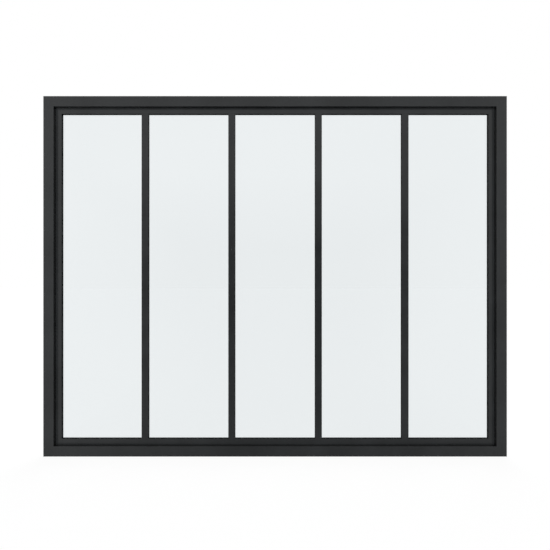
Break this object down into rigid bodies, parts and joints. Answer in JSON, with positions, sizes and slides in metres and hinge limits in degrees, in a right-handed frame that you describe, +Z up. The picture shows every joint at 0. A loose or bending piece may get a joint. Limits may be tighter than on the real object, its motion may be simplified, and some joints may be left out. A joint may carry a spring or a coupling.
{
  "type": "fixed steel window",
  "caption": "Fixed steel window: equal tall panes between slim full-height glazing bars, in a glazing frame set back inside a mitred hollow outer frame, with beads on the room side.",
  "frame": {"origin": "middle of the sill's underside, at mid-depth", "axes": "+X to the right as seen from outside, +Y from the outside face to the room, +Z up"},
  "size_m": [1.8, 0.07, 1.4],
  "materials": {
    "coated_steel": "fine-texture dark grey powder coat",
    "bead_steel": "fine-texture dark grey powder coat",
    "clear_glass": "clear laminated glass",
    "black_rubber": "matt black extruded rubber",
    "block_plastic": "dark grey plastic"
  },
  "bodies": {
    "root": {"outer_sill": "coated_steel", "outer_head": "coated_steel", "outer_left_jamb": "coated_steel", "outer_right_jamb": "coated_steel", "glazing_sill": "coated_steel", "glazing_head": "coated_steel", "glazing_left_jamb": "coated_steel", "glazing_right_jamb": "coated_steel", "glazing_bar_1": "coated_steel", "glazing_bar_2": "coated_steel", "glazing_bar_3": "coated_steel", "glazing_bar_4": "coated_steel", "glass_1": "clear_glass", "gaskets_1": "black_rubber", "bead_1_sill": "bead_steel", "bead_1_head": "bead_steel", "bead_1_left": "bead_steel", "bead_1_right": "bead_steel", "glass_2": "clear_glass", "gaskets_2": "black_rubber", "bead_2_sill": "bead_steel", "bead_2_head": "bead_steel", "bead_2_left": "bead_steel", "bead_2_right": "bead_steel", "glass_3": "clear_glass", "gaskets_3": "black_rubber", "bead_3_sill": "bead_steel", "bead_3_head": "bead_steel", "bead_3_left": "bead_steel", "bead_3_right": "bead_steel", "glass_4": "clear_glass", "gaskets_4": "black_rubber", "bead_4_sill": "bead_steel", "bead_4_head": "bead_steel", "bead_4_left": "bead_steel", "bead_4_right": "bead_steel", "glass_5": "clear_glass", "gaskets_5": "black_rubber", "bead_5_sill": "bead_steel", "bead_5_head": "bead_steel", "bead_5_left": "bead_steel", "bead_5_right": "bead_steel", "setting_blocks": "block_plastic"}
  },
  "joints": []
}
